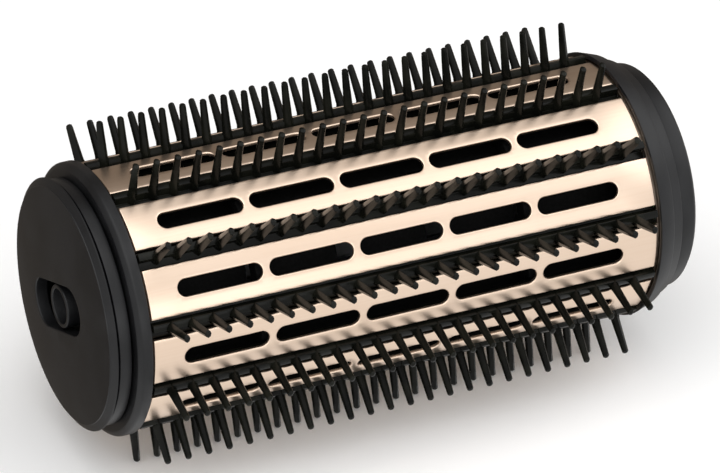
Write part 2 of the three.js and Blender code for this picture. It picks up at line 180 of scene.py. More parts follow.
class FrontSizes(bpy.types.PropertyGroup):
    """Sizes of the front collar and the axle"""
    radius: size("Radius", "Outside of the front collar", 19.6)
    shoulder: size("Shoulder", "Radius of the collar's front edge", 18.75)
    slope: size("Slope", "Length of the slope from the shoulder to the outside", 0.6)
    seat: size("Seat", "Radius of the collar's seat over the tube's neck", 18.85)
    seat_depth: size("Seat depth", "Depth of the seat over the tube's neck", 1.55)
    bore: size("Bore", "Radius of the bore through the collar", 14.6)
    spigot: size("Spigot", "Radius of the spigot that the tip turns on", 15.3)
    spigot_length: size("Spigot length", "Length of the spigot with its flange", 2)
    flange: size("Flange", "Radius of the flange that holds the tip", 16.4)
    flange_depth: size("Flange depth", "Thickness of the flange that holds the tip", 0.8)
    edge: size("Edge", "Rounding of the collar's outer edges", 0.14)
    axle: size("Axle", "Outside radius of the axle", 3.2)
    axle_bore: size("Axle bore", "Radius of the axle's bore", 2.55)
    axle_flange: size("Axle flange", "Radius of the axle's flange", 5.6)
    axle_flange_depth: size("Axle flange depth", "Thickness of the axle's flange", 0.7)
    axle_edge: size("Axle edge", "Rounding of the axle's end", 0.25)
    screw_hole: size("Screw hole", "Radius of the hole for the hub's screw", 1.3)
    fine_edge: size("Fine edge", "Rounding of edges that hardly show", 0.1)


class CouplingSizes(bpy.types.PropertyGroup):
    """Sizes of the coupling and what it holds"""
    radius: size("Radius", "Outside of the coupling's front edge", 19.6)
    seat: size("Seat", "Radius of the recess over the tube's neck", 18.85)
    seat_depth: size("Seat depth", "Depth of the recess over the tube's neck", 1.35)
    step: size("Step", "From the coupling's front to the step in its outside", 2.45)
    step_radius: size("Step radius", "Outside radius in front of the step", 18.8)
    body_radius: size("Body radius", "Outside radius behind the step", 18.2)
    end_radius: size("End radius", "Outside radius at the coupling's rear", 17.7)
    bore: size("Bore", "Radius of the bore for the bush and the locking ring", 16.1)
    edge: size("Edge", "Rounding of the coupling's outer edges", 0.14)
    fine_edge: size("Fine edge", "Rounding of edges that hardly show", 0.1)
    lock_radius: size("Lock radius", "Outside radius of the locking ring's front", 16.9)
    lock_taper: size("Lock taper", "Outside radius where the locking ring's chamfer begins", 16.65)
    lock_end: size("Lock end", "Outside radius of the locking ring's rear", 16.1)
    lock_chamfer: size("Lock chamfer", "Length of the locking ring's chamfer", 0.5)
    lock_bore: size("Lock bore", "Radius of the locking ring's bore", 15)
    lugs: IntProperty(name="Lugs", description="Lugs inside the locking ring", default=3, min=1)
    lug_spread: turn_of("Lug spread", "Angle that one lug takes up", 22)
    lug_reach: size("Lug reach", "From the axis to the lugs' inner faces", 13.7)
    lug_root: size("Lug root", "From the axis to the lugs' roots inside the ring", 15.4)
    lug_length: size("Lug length", "From the ring's rear to the front of its lugs", 1.1)
    lug_setback: size("Lug setback", "From the ring's rear to the rear of its lugs", 0.05)
    bush_bore: size("Bush bore", "Radius of the bearing bush's bore", 14.5)
    bush_radius: size("Bush radius", "Outside radius of the bearing bush", 15.8)
    bush_flange: size("Bush flange", "Radius of the bush's flange", 16.8)
    bush_flange_depth: size("Bush flange depth", "Thickness of the bush's flange", 0.6)
    seal_radius: size("Seal radius", "Outside radius of the air seal", 14.7)
    seal_bore: size("Seal bore", "Radius of the seal's bore at its front", 14.2)
    seal_lip: size("Seal lip", "Radius of the seal's bore at its lip", 13.5)
    seal_lip_length: size("Seal lip length", "Length of the seal's lip", 0.25)


class DriveSizes(bpy.types.PropertyGroup):
    """Sizes of the retaining ring and the drive socket"""
    clip_radius: size("Clip radius", "Outside radius of the retaining ring", 15.5)
    clip_bore: size("Clip bore", "Inside radius of the retaining ring", 14)
    clip_mouth: size("Clip mouth", "Gap between the retaining ring's ends", 4)
    clip_edge: size("Clip edge", "Rounding of the retaining ring's edges", 0.08)
    hexagon: size("Hexagon", "From the axis to a corner of the socket's bore", 3.6)
    lead_in: size("Lead-in", "Chamfer at the mouth of the socket's bore", 0.4)
    socket_radius: size("Socket radius", "Outside radius of the socket", 5.2)
    socket_edge: size("Socket edge", "Chamfer of the socket's outer edges", 0.25)


class BrushColours(bpy.types.PropertyGroup):
    """Colours of the finishes"""
    gold: colour("Gold", "Champagne-gold coat of the tube", (0.825, 0.655, 0.52))
    gold_deep: colour("Deep gold", "The coat where it lies thicker", (0.795, 0.615, 0.475))
    strip: colour("Strips", "Olive-black plastic of the bristle strips", (0.0035, 0.0037, 0.0028))
    strip_pale: colour("Worn strips", "The same plastic where it has greyed", (0.0085, 0.0088, 0.0062))
    satin: colour("Satin black", "Plastic of the cap and the collars", (0.0062, 0.0063, 0.0070))
    satin_pale: colour("Satin grey", "The same plastic where its skin is paler", (0.0105, 0.0107, 0.0117))
    inner: colour("Inner black", "Plastic of the pieces inside the tube", (0.003, 0.003, 0.003))
    steel: colour("Steel", "Shaft, socket, pin and screw", (0.56, 0.56, 0.57))
    acetal: colour("Acetal", "Bearing bush", (0.80, 0.78, 0.71))
    rubber: colour("Rubber", "Air seal", (0.018, 0.018, 0.018))
    floor: colour("Floor", "The floor", (0.97, 0.97, 0.97))


# ---------- shader graphs ----------
class Value:
    """A number in a material's graph. Its operators add Math nodes."""

    def __init__(self, graph, socket):
        self.graph, self.socket = graph, socket

    def math(self, operation, *operands):
        node = self.graph.node("ShaderNodeMath", {"operation": operation}, dict(enumerate(operands)))
        return Value(self.graph, node.outputs[0])

    def __add__(self, other):
        return self.math("ADD", self, other)

    def __mul__(self, other):
        return self.math("MULTIPLY", self, other)

    __radd__, __rmul__ = __add__, __mul__

    def between(self, low, high):
        """0 below low, 1 above high and smooth between them."""
        inputs = {"Value": self, "From Min": low, "From Max": high}
        node = self.graph.node("ShaderNodeMapRange", {"interpolation_type": "SMOOTHSTEP"}, inputs)
        return Value(self.graph, node.outputs["Result"])


class Graph:
    """The node tree of one new material."""

    def __init__(self, name, diffuse):
        self.material = bpy.data.materials.new(name)
        self.material.use_nodes = True
        self.material.diffuse_color = (*diffuse, 1)
        self.tree = self.material.node_tree
        self.shader = self.tree.nodes["Principled BSDF"]

    def node(self, kind, settings=None, inputs=None):
        made = self.tree.nodes.new(kind)
        for key, value in (settings or {}).items():
            setattr(made, key, value)
        self.feed(made, inputs or {})
        return made

    def feed(self, node, inputs):
        for key, value in inputs.items():
            if isinstance(value, Value):
                value = value.socket
            if isinstance(value, bpy.types.NodeSocket):
                self.tree.links.new(value, node.inputs[key])
            else:
                node.inputs[key].default_value = value

    def place(self, scale):
        """A point on the piece, in the head's frame, stretched by scale along each axis."""
        here = self.node("ShaderNodeTexCoord").outputs["Object"]
        inputs = {"Vector": here, "Scale": scale, "Location": (0, 0, -AXIS_Z * scale[2])}
        return self.node("ShaderNodeMapping", {}, inputs).outputs["Vector"]

    def noise(self, scale, detail=2, stretch=(1, 1, 1), roughness=0.5):
        inputs = {"Vector": self.place(stretch), "Scale": scale, "Detail": detail, "Roughness": roughness}
        return Value(self, self.node("ShaderNodeTexNoise", {}, inputs).outputs["Fac"])

    def blend(self, amount, first, second):
        """One colour going over to another."""
        node = self.node("ShaderNodeMix", {"data_type": "RGBA"})
        self.feed(node, {0: amount, 6: (*first, 1), 7: (*second, 1)})
        return node.outputs[2]

    def bump(self, height, distance, strength):
        inputs = {"Height": height, "Distance": distance, "Strength": strength}
        return self.node("ShaderNodeBump", {}, inputs).outputs["Normal"]


def gold_coat(colours):
    """Metal tube with a champagne-gold coat: a fine lengthwise grain under a satin sheen."""
    graph = Graph("champagne_gold_coat", colours.gold)
    grain = graph.noise(scale=3600, detail=3, stretch=(0.02, 1, 1), roughness=0.6)
    speckle = graph.noise(scale=2200, detail=2)
    cloud = graph.noise(scale=55, detail=3, stretch=(0.5, 1, 1))
    tone = (grain * 0.45 + cloud * 0.55).between(0.36, 0.66)
    graph.feed(graph.shader, {
        "Base Color": graph.blend(tone, colours.gold_deep, colours.gold),
        "Roughness": 0.25 + grain * 0.08 + speckle * 0.04,
        "Normal": graph.bump(grain * 0.8 + speckle * 0.2, distance=0.004 * MM, strength=0.5),
        "Metallic": 1.0,
    })
    return graph.material


def strip_plastic(colours):
    """Glossy heat-proof nylon, olive-black, greyed a little in patches and faintly rippled by its mould."""
    graph = Graph("strip_gloss_plastic", colours.strip)
    patch = graph.noise(scale=260, detail=3)
    ripple = graph.noise(scale=1400, detail=2)
    graph.feed(graph.shader, {
        "Base Color": graph.blend(patch.between(0.42, 0.68), colours.strip, colours.strip_pale),
        "Roughness": 0.16 + patch * 0.12,
        "Normal": graph.bump(ripple, distance=0.02 * MM, strength=0.5),
        "IOR": 1.38,
        "Specular IOR Level": 0.2,
    })
    return graph.material


def satin_plastic(colours):
    """Satin black plastic with the fine even texture of a spark-eroded mould."""
    graph = Graph("satin_black_plastic", colours.satin)
    texture = graph.noise(scale=5200, detail=2, roughness=0.6)
    cloud = graph.noise(scale=120, detail=3)
    graph.feed(graph.shader, {
        "Base Color": graph.blend(cloud.between(0.38, 0.66), colours.satin, colours.satin_pale),
        "Roughness": 0.30 + texture * 0.10 + cloud * 0.05,
        "Normal": graph.bump(texture, distance=0.012 * MM, strength=0.6),
        "IOR": 1.36,
    })
    return graph.material


def inner_plastic(colours):
    """Plain black plastic of the pieces that stay out of sight, dulled by heat."""
    graph = Graph("inner_black_plastic", colours.inner)
    texture = graph.noise(scale=2400, detail=3)
    dull = [channel * 1.8 for channel in colours.inner]
    graph.feed(graph.shader, {
        "Base Color": graph.blend(texture.between(0.4, 0.65), colours.inner, dull),
        "Roughness": 0.55 + texture * 0.2,
        "Normal": graph.bump(texture, distance=0.02 * MM, strength=0.5),
        "Specular IOR Level": 0.06,
    })
    return graph.material


def turned_steel(colours):
    """Steel with the fine rings that turning leaves."""
    graph = Graph("turned_steel", colours.steel)
    rings = graph.noise(scale=1800, detail=2, stretch=(1, 0.04, 0.04))
    stain = graph.noise(scale=420, detail=3)
    dark = [channel * 0.8 for channel in colours.steel]
    graph.feed(graph.shader, {
        "Base Color": graph.blend(stain.between(0.35, 0.65), dark, colours.steel),
        "Roughness": 0.24 + rings * 0.16,
        "Normal": graph.bump(rings, distance=0.006 * MM, strength=0.5),
        "Metallic": 1.0,
    })
    return graph.material


def acetal_plastic(colours):
    """Milky, slightly waxy bearing plastic."""
    graph = Graph("natural_acetal", colours.acetal)
    mottle = graph.noise(scale=600, detail=3)
    warm = [channel * 0.93 for channel in colours.acetal]
    graph.feed(graph.shader, {
        "Base Color": graph.blend(mottle.between(0.35, 0.65), warm, colours.acetal),
        "Roughness": 0.36 + mottle * 0.12,
        "Normal": graph.bump(mottle, distance=0.01 * MM, strength=0.4),
        "Subsurface Weight": 0.1,
        "Subsurface Scale": 0.5 * MM,
    })
    return graph.material


def seal_rubber(colours):
    """Matt moulded rubber with a powdery bloom."""
    graph = Graph("seal_rubber", colours.rubber)
    bloom = graph.noise(scale=1500, detail=4)
    powder = [channel * 2.4 for channel in colours.rubber]
    graph.feed(graph.shader, {
        "Base Color": graph.blend(bloom.between(0.45, 0.8), colours.rubber, powder),
        "Roughness": 0.7 + bloom * 0.2,
        "Normal": graph.bump(bloom, distance=0.02 * MM, strength=0.6),
    })
    return graph.material


def floor_paint(colours):
    """Matt pale floor, even but for a trace of unevenness."""
    graph = Graph("pale_floor", colours.floor)
    trace = graph.noise(scale=9, detail=2)
    shade = [channel * 0.985 for channel in colours.floor]
    graph.feed(graph.shader, {
        "Base Color": graph.blend(trace.between(0.3, 0.7), shade, colours.floor),
        "Roughness": 0.75 + trace * 0.1,
        "Specular IOR Level": 0.2,
    })
    return graph.material


FINISHES = {
    "champagne_gold": gold_coat,
    "gloss_black": strip_plastic,
    "satin_black": satin_plastic,
    "inner_black": inner_plastic,
    "steel": turned_steel,
    "acetal": acetal_plastic,
    "seal_rubber": seal_rubber,
}
made_finishes = {}


def finish_of(slot):
    """The material for one of the record's slots, made when it is first asked for."""
    if slot not in made_finishes:
        made_finishes[slot] = FINISHES[slot](bpy.context.scene.brush_colours)
    return made_finishes[slot]


# ---------- mesh tools ----------
def verts_of(geometry):
    return [item for item in geometry if isinstance(item, bmesh.types.BMVert)]


def edges_of(geometry):
    return [item for item in geometry if isinstance(item, bmesh.types.BMEdge)]


def tidied(bm):
    """Merges what touches and turns every face outwards."""
    bmesh.ops.remove_doubles(bm, verts=bm.verts[:], dist=TOUCHING)
    bmesh.ops.dissolve_degenerate(bm, edges=bm.edges[:], dist=TOUCHING)
    bmesh.ops.recalc_face_normals(bm, faces=bm.faces[:])
    return bm


def made(bm, name, slot, body, *nodes, crease=SHARP):
    """Turns a mesh made round the axis into a piece that rides on a body and stands for its CAD nodes.
    Faces that meet at more than the crease keep a crisp edge between them."""
    bmesh.ops.translate(bm, verts=bm.verts[:], vec=AXIS)
    mesh = bpy.data.meshes.new(name)
    bm.to_mesh(mesh)
    bm.free()
    mesh.shade_smooth()
    mesh.set_sharp_from_angle(angle=crease)
    mesh.materials.append(finish_of(slot))
    piece = bpy.data.objects.new(name, mesh)
    bpy.context.scene.collection.objects.link(piece)
    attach(piece, body)
    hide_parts(*nodes)


def outline(bm, corners):
    """A flat face from (along, out, rounding) corners, with out measured from the axis and up."""
    verts = [bm.verts.new((along, 0, out)) for along, out, _ in corners]
    bm.faces.new(verts)
    for vert, (_, _, rounding) in zip(verts, corners):
        if rounding:
            bmesh.ops.bevel(
                bm, geom=[vert], affect="VERTICES", offset=rounding, segments=3, profile=0.5, material=-1
            )


def turned(corners, steps=ROUND, turn=2 * math.pi, start=0.0):
    """A rounded outline turned about the axis, all the way or part of it."""
    bm = bmesh.new()
    outline(bm, corners)
    whole = turn == 2 * math.pi
    if whole:
        bmesh.ops.delete(bm, geom=bm.faces[:], context="FACES_ONLY")
    bmesh.ops.rotate(bm, verts=bm.verts[:], cent=(0, 0, 0), matrix=Matrix.Rotation(start, 3, "X"))
    bmesh.ops.spin(
        bm, geom=bm.verts[:] + bm.edges[:] + bm.faces[:], cent=(0, 0, 0), axis=(1, 0, 0),
        angle=turn, steps=steps, use_merge=whole,
    )
    return tidied(bm)


def added(bm, other):
    """Joins a second mesh to the first."""
    mesh = bpy.data.meshes.new("joined")
    other.to_mesh(mesh)
    other.free()
    bm.from_mesh(mesh)
    bpy.data.meshes.remove(mesh)


def ringed(stations, steps=ROUND):
    """A closed skin through loops round the axis. Each station gives a loop's (along, out) at an angle."""
    bm = bmesh.new()
    across = Matrix.Rotation(math.pi / 2, 4, "Y")
    bmesh.ops.create_circle(bm, cap_ends=False, segments=steps, radius=1, matrix=across)

    def put(verts, station):
        for vert in verts:
            angle = math.atan2(-vert.co.y, vert.co.z)
            along, out = station(angle)
            vert.co = (along, -out * math.sin(angle), out * math.cos(angle))

    put(bm.verts, stations[0])
    loop = bm.edges[:]
    for station in [*stations[1:], stations[0]]:
        grown = bmesh.ops.extrude_edge_only(bm, edges=loop)["geom"]
        put(verts_of(grown), station)
        loop = edges_of(grown)
    return tidied(bm)


def level(along, out):
    """A station for a round loop."""
    return lambda angle: (along, out)


# ---------- the gold tube ----------
def vent_cell(sizes):
    """One vent and the flat sheet round it, as long as the vents' pitch and as wide as a panel."""
    bm = bmesh.new()
    steps = 32
    radius = sizes.vent_width / 2
    straight = sizes.vent_length / 2 - radius
    half_length = sizes.vent_pitch / 2
    half_width = (ROW_STEP * sizes.radius - sizes.slot_width) / 2
    bmesh.ops.create_circle(
        bm, cap_ends=False, segments=steps, radius=radius, matrix=Matrix.Rotation(math.pi / steps, 4, "Z")
    )
    hole = bm.verts[:]
    grown = bmesh.ops.extrude_edge_only(bm, edges=bm.edges[:])["geom"]
    corner = 5.5 * 2 * math.pi / steps    # the circle's verts stand at half steps, this one at the corner
    slack = 1e-4
    for vert in verts_of(grown):
        side, up = math.copysign(1, vert.co.x), math.copysign(1, vert.co.y)
        angle = math.atan2(abs(vert.co.y), abs(vert.co.x))
        if angle < corner + slack:
            vert.co = (side * half_length, up * half_width * angle / corner, 0)
        else:
            past = (angle - corner) / (math.pi / 2 - corner)
            vert.co = (side * (half_length - past * (half_length - straight)), up * half_width, 0)
    for vert in hole:
        vert.co.x += math.copysign(straight, vert.co.x)
    return bm


def panel_sheet(sizes, front, rear):
    """One flat panel of the tube with its vents, between two half slots, as thick as the tube's wall."""
    bm = vent_cell(sizes)
    cell = bm.verts[:] + bm.edges[:] + bm.faces[:]
    for i in range(1, sizes.vents):
        copy = bmesh.ops.duplicate(bm, geom=cell)["geom"]
        bmesh.ops.translate(bm, verts=verts_of(copy), vec=(i * sizes.vent_pitch, 0, 0))
    first = front + sizes.vent_middle - (sizes.vents - 1) / 2 * sizes.vent_pitch
    bmesh.ops.translate(bm, verts=bm.verts[:], vec=(first, 0, 0))
    bmesh.ops.remove_doubles(bm, verts=bm.verts[:], dist=TOUCHING)
    half_width = max(vert.co.y for vert in bm.verts)
    half_sector = ROW_STEP * sizes.radius / 2
    ends = [
        (min, front, -1, sizes.front_neck),
        (max, rear, 1, sizes.rear_neck),
    ]
    for extreme, end, way, neck in ends:
        edge_x = extreme(vert.co.x for vert in bm.verts)
        edges = [
            edge for edge in bm.edges
            if edge.is_boundary and all(abs(vert.co.x - edge_x) < TOUCHING for vert in edge.verts)
        ]
        stops = [
            (end - way * (neck + sizes.neck_bend), 0), (end - way * neck, -sizes.neck_drop),
            (end - way * sizes.slot_end, -sizes.neck_drop), (end, -sizes.neck_drop),
        ]
        for x, drop in stops:
            grown = bmesh.ops.extrude_edge_only(bm, edges=edges)["geom"]
            for vert in verts_of(grown):
                vert.co.x, vert.co.z = x, drop
            edges = edges_of(grown)
        for side in (-1, 1):
            flanks = [
                edge for edge in bm.edges
                if edge.is_boundary and all(
                    abs(vert.co.y - side * half_width) < TOUCHING
                    and way * (vert.co.x - end) > -sizes.slot_end - TOUCHING for vert in edge.verts
                )
            ]
            grown = bmesh.ops.extrude_edge_only(bm, edges=flanks)["geom"]
            for vert in verts_of(grown):
                vert.co.y = side * half_sector
    bmesh.ops.remove_doubles(bm, verts=bm.verts[:], dist=TOUCHING)
    bmesh.ops.recalc_face_normals(bm, faces=bm.faces[:])
    if sum(face.normal.z for face in bm.faces) < 0:
        bmesh.ops.reverse_faces(bm, faces=bm.faces[:])
    bmesh.ops.solidify(bm, geom=bm.faces[:], thickness=sizes.wall)
    return bm


def gold_tube(sizes, front, rear):
    """The panel with rounded rims, bent to its share of the tube and repeated all the way round."""
    bm = panel_sheet(sizes, front, rear)
    half_sector = ROW_STEP * sizes.radius / 2
    square = math.radians(60)    # only the sheet's own edges are as square as this
    rims = [
        edge for edge in bm.edges
        if len(edge.link_faces) == 2 and edge.calc_face_angle() > square
        and all(vert.co.z > -TOUCHING and abs(vert.co.y) < half_sector - TOUCHING for vert in edge.verts)
    ]
    bmesh.ops.bevel(
        bm, geom=rims, affect="EDGES", offset=sizes.rim, segments=3, profile=0.5, material=-1,
        clamp_overlap=True,
    )
    cuts = 16
    hair = 1e-7
    for i in range(1, cuts):
        y = half_sector * (2 * i / cuts - 1)
        everything = bm.verts[:] + bm.edges[:] + bm.faces[:]
        bmesh.ops.bisect_plane(bm, geom=everything, dist=hair, plane_co=(0, y, 0), plane_no=(0, 1, 0))
    seams = [
        face for face in bm.faces
        if all(abs(abs(vert.co.y) - half_sector) < TOUCHING for vert in face.verts)
    ]
    bmesh.ops.delete(bm, geom=seams, context="FACES")
    for vert in bm.verts:
        angle, out = vert.co.y / sizes.radius, sizes.radius + vert.co.z
        vert.co = (vert.co.x, out * math.sin(angle), out * math.cos(angle))
    bmesh.ops.spin(
        bm, geom=bm.verts[:] + bm.edges[:] + bm.faces[:], cent=(0, 0, 0), axis=(1, 0, 0),
        angle=2 * math.pi - ROW_STEP, steps=ROWS - 1, use_duplicate=True,
    )
    return tidied(bm)


class BRUSH_HEAD_OT_tube(bpy.types.Operator):
    """Make the gold tube with its vents and slots"""
    bl_idname = "brush_head.tube"
    bl_label = "Gold Tube"

    def execute(self, context):
        bm = gold_tube(context.scene.brush_barrel, *span("heat_barrel"))
        made(bm, "barrel_skin", "champagne_gold", "barrel", "heat_barrel")
        return {"FINISHED"}


# ---------- the bristle strips ----------
def one_bristle(sizes):
    """A blunt tapered bristle with a flared root, standing up from the axis at x = 0."""
    bm = bmesh.new()
    foot = sizes.ledge - 0.05 * MM       # a little way into the rail
    shoulder = sizes.tip - sizes.tip_radius
    profile = [
        (0, foot), (sizes.root_radius, foot),
        (sizes.root_radius, sizes.rail_top), (sizes.base_radius, sizes.rail_top + sizes.root_height),
        (sizes.tip_radius, shoulder),
    ]
    bends = 2
    for i in range(1, bends + 1):
        angle = i / (bends + 1) * math.pi / 2
        profile.append((sizes.tip_radius * math.cos(angle), shoulder + sizes.tip_radius * math.sin(angle)))
    profile.append((0, sizes.tip))
    verts = [bm.verts.new((out, 0, up)) for out, up in profile]
    for lower, upper in zip(verts, verts[1:]):
        bm.edges.new((lower, upper))
    sides = 8
    bmesh.ops.spin(
        bm, geom=bm.verts[:] + bm.edges[:], cent=(0, 0, 0), axis=(0, 0, 1), angle=2 * math.pi, steps=sides,
        use_merge=True,
    )
    tidied(bm)
    off_ridge = 0.1 * MM
    hollows = [
        vert for vert in bm.verts
        if min(abs(vert.co.x), abs(vert.co.y)) > off_ridge and vert.co.z < shoulder + TOUCHING
    ]
    bmesh.ops.scale(bm, verts=hollows, vec=(sizes.hollow, sizes.hollow, 1))
    bmesh.ops.scale(bm, verts=bm.verts[:], vec=(1, sizes.broad, 1))
    return bm


def bristle_strip(sizes, front, rear):
    """The rail with its foot and its row of bristles, along the top of the tube."""
    bm = bmesh.new()
    half = sizes.rail_width / 2
    side = [
        (sizes.foot_width / 2, sizes.foot_bottom), (sizes.foot_width / 2, sizes.foot_top),
        (half, sizes.foot_top), (half, sizes.ledge),
    ]
    ridge = [
        (sizes.ridge_shift + way * sizes.ridge_width / 2, z)
        for way, z in [(1, sizes.ledge), (1, sizes.rail_top), (-1, sizes.rail_top), (-1, sizes.ledge)]
    ]
    section = side + ridge + [(-y, z) for y, z in reversed(side)]
    face = bm.faces.new([bm.verts.new((front, y, z)) for y, z in section])
    grown = bmesh.ops.extrude_face_region(bm, geom=[face])["geom"]
    bmesh.ops.translate(bm, verts=verts_of(grown), vec=(rear - front, 0, 0))
    bmesh.ops.recalc_face_normals(bm, faces=bm.faces[:])
    crests = [
        edge for edge in bm.edges
        if all(vert.co.z > sizes.foot_top + TOUCHING for vert in edge.verts)
    ]
    bmesh.ops.bevel(
        bm, geom=crests, affect="EDGES", offset=sizes.crest, segments=2, profile=0.5, material=-1,
        clamp_overlap=True,
    )
    for i in range(sizes.bristles):
        bristle = one_bristle(sizes)
        x = front + sizes.middle + (i - (sizes.bristles - 1) / 2) * sizes.pitch
        bmesh.ops.translate(bristle, verts=bristle.verts[:], vec=(x, 0, 0))
        added(bm, bristle)
    return bm


class BRUSH_HEAD_OT_strips(bpy.types.Operator):
    """Make the twelve strips of bristles"""
    bl_idname = "brush_head.strips"
    bl_label = "Bristle Strips"

    def execute(self, context):
        for i in range(ROWS):
            node = f"bristle_strip_{i + 1:02d}"
            bm = bristle_strip(context.scene.brush_strips, *STRIP_SPAN)
            turn = Matrix.Rotation((i + 0.5) * ROW_STEP, 3, "X")
            bmesh.ops.rotate(bm, verts=bm.verts[:], cent=(0, 0, 0), matrix=turn)
            made(bm, f"bristles_{i + 1:02d}", "gloss_black", "barrel", node)
        return {"FINISHED"}


# ---------- the tip ----------
def window_out(sizes, angle):
    """How far the finger window, a slot with round ends, reaches from the axis at an angle."""
    radius = sizes.window_width / 2
    reach = sizes.window_length / 2 - radius
    along = abs(math.sin(angle + sizes.window_tilt))
    across = abs(math.cos(angle + sizes.window_tilt))
    if radius * along < reach * across:
        return radius / across
    return reach * along + math.sqrt(radius ** 2 - (reach * across) ** 2)


class BRUSH_HEAD_OT_tip(bpy.types.Operator):
    """Make the domed tip cap with its finger window, and the band behind it"""
    bl_idname = "brush_head.tip"
    bl_label = "Tip Cap and Band"

    def execute(self, context):
        sizes = context.scene.brush_tip
        crown, back = span("tip_cap")

        def dome(out):
            return crown + sizes.dome * (out / sizes.face_radius) ** sizes.dome_power

        def at_window(depth, wider):
            def station(angle):
                out = window_out(sizes, angle) + wider
                return dome(out) + depth, out
            return station

        def towards(out, share):
            def station(angle):
                here = window_out(sizes, angle) + sizes.window_rim
                here += (out - here) * share
                return dome(here), here
            return station

        rim, edge, even = sizes.window_rim, sizes.edge, sizes.even_radius
        face_end = crown + sizes.dome
        bevel_end = face_end + sizes.bevel
        crisp = 0.05 * MM
        stations = [lambda angle: (back, window_out(sizes, angle))]
        stations += [at_window(rim * (1 - math.sin(a)), rim * (1 - math.cos(a))) for a in QUARTER]
        stations += [towards(even, share) for share in (0.35, 0.7, 1)]
        stations += [level(dome(share * even), share * even) for share in (1.15, 1.3, 1.45, 1.58)]
        stations += [
            level(face_end, sizes.face_radius), level(face_end + sizes.lip, sizes.face_radius + crisp),
            level(bevel_end - crisp, sizes.radius - 2 * crisp), level(bevel_end + crisp, sizes.radius),
            level(back - edge, sizes.radius), level(back, sizes.radius - edge), level(back, even),
        ]
        cap = ringed(stations, 2 * ROUND)
        made(cap, "tip_cap_disc", "satin_black", "tip", "tip_cap", crease=CAP_SHARP)

        front, rear = span("tip_band")
        lip = rear - sizes.band_lip
        band = turned([
            (front, sizes.band_seat, 0), (front, sizes.band_radius, sizes.band_edge),
            (rear, sizes.band_radius, sizes.band_edge), (rear, sizes.band_bore, 0), (lip, sizes.band_bore, 0),
            (lip, sizes.band_seat, 0),
        ])
        made(band, "tip_band_ring", "satin_black", "tip", "tip_band")
        return {"FINISHED"}


class BRUSH_HEAD_OT_front(bpy.types.Operator):
    """Make the front collar and the axle that the tip cap turns on"""
    bl_idname = "brush_head.front"
    bl_label = "Front Collar and Axle"

    def execute(self, context):
        sizes = context.scene.brush_front
        edge, fine = sizes.edge, sizes.fine_edge
        front, rear = span("front_collar")
        flange = front + sizes.flange_depth
        step = front + sizes.spigot_length
        web = rear - sizes.seat_depth
        collar = turned([
            (front, sizes.bore, 0), (front, sizes.flange, 0), (flange, sizes.flange, 0),
            (flange, sizes.spigot, 0), (step, sizes.spigot, 0), (step, sizes.shoulder, edge),
            (step + sizes.slope, sizes.radius, 2 * edge), (rear, sizes.radius, edge / 2),
            (rear, sizes.seat, fine), (web, sizes.seat, 0), (web, sizes.bore, 0),
        ])
        made(collar, "front_collar_ring", "satin_black", "barrel", "front_collar")

        front, rear = span("tip_axle")
        flange = rear - sizes.axle_flange_depth
        axle = turned([
            (front, sizes.axle_bore, 0.8 * sizes.axle_edge), (front, sizes.axle, sizes.axle_edge),
            (flange, sizes.axle, 0), (flange, sizes.axle_flange, fine), (rear, sizes.axle_flange, 0),
            (rear, sizes.screw_hole, 0), (flange, sizes.screw_hole, 0), (flange, sizes.axle_bore, 0),
        ], SMALL_ROUND)
        made(axle, "axle_ring", "satin_black", "barrel", "tip_axle")
        return {"FINISHED"}


# ---------- the coupling ----------
class BRUSH_HEAD_OT_coupling(bpy.types.Operator):
    """Make the stepped coupling, its locking ring with three lugs, its bearing bush and its air seal"""
    bl_idname = "brush_head.coupling"
    bl_label = "Coupling"

    def execute(self, context):
        sizes = context.scene.brush_coupling
        edge, fine = sizes.edge, sizes.fine_edge
        front, rear = span("coupling_housing")
        step, web = front + sizes.step, front + sizes.seat_depth
        housing = turned([
            (front, sizes.seat, fine), (front, sizes.radius, edge), (step, sizes.step_radius, edge),
            (step, sizes.body_radius, fine / 2), (rear, sizes.end_radius, edge), (rear, sizes.bore, fine),
            (web, sizes.bore, 0), (web, sizes.seat, 0),
        ])
        made(housing, "coupling_body", "satin_black", "coupling", "coupling_housing")

        front, rear = span("locking_ring")
        ring = turned([
            (front, sizes.lock_bore, 0), (front, sizes.lock_radius, fine),
            (rear - sizes.lock_chamfer, sizes.lock_taper, fine), (rear, sizes.lock_end, 1.5 * fine),
            (rear, sizes.lock_bore, 2.5 * fine),
        ])
        lug_front, lug_rear = rear - sizes.lug_length, rear - sizes.lug_setback
        for i in range(sizes.lugs):
            begins = i * 2 * math.pi / sizes.lugs - sizes.lug_spread / 2
            lug = turned([
                (lug_front, sizes.lug_reach, 1.2 * fine), (lug_front, sizes.lug_root, 0),
                (lug_rear, sizes.lug_root, 0), (lug_rear, sizes.lug_reach, 2 * fine),
            ], steps=8, turn=sizes.lug_spread, start=begins)
            added(ring, lug)
        made(ring, "lock_ring", "satin_black", "coupling", "locking_ring")

        front, rear = span("bearing_bush")
        flange = front + sizes.bush_flange_depth
        bush = turned([
            (front, sizes.bush_bore, fine), (front, sizes.bush_flange, fine),
            (flange, sizes.bush_flange, fine), (flange, sizes.bush_radius, 0),
            (rear, sizes.bush_radius, fine), (rear, sizes.bush_bore, fine),
        ])
        made(bush, "bush_ring", "acetal", "coupling", "bearing_bush")

        front, rear = span("air_seal")
        seal = turned([
            (front, sizes.seal_bore, fine), (front, sizes.seal_radius, fine), (rear, sizes.seal_radius, fine),
            (rear, sizes.seal_lip, 1.5 * fine), (rear - sizes.seal_lip_length, sizes.seal_lip, 0.8 * fine),
        ])
        made(seal, "seal_ring", "seal_rubber", "coupling", "air_seal")
        return {"FINISHED"}


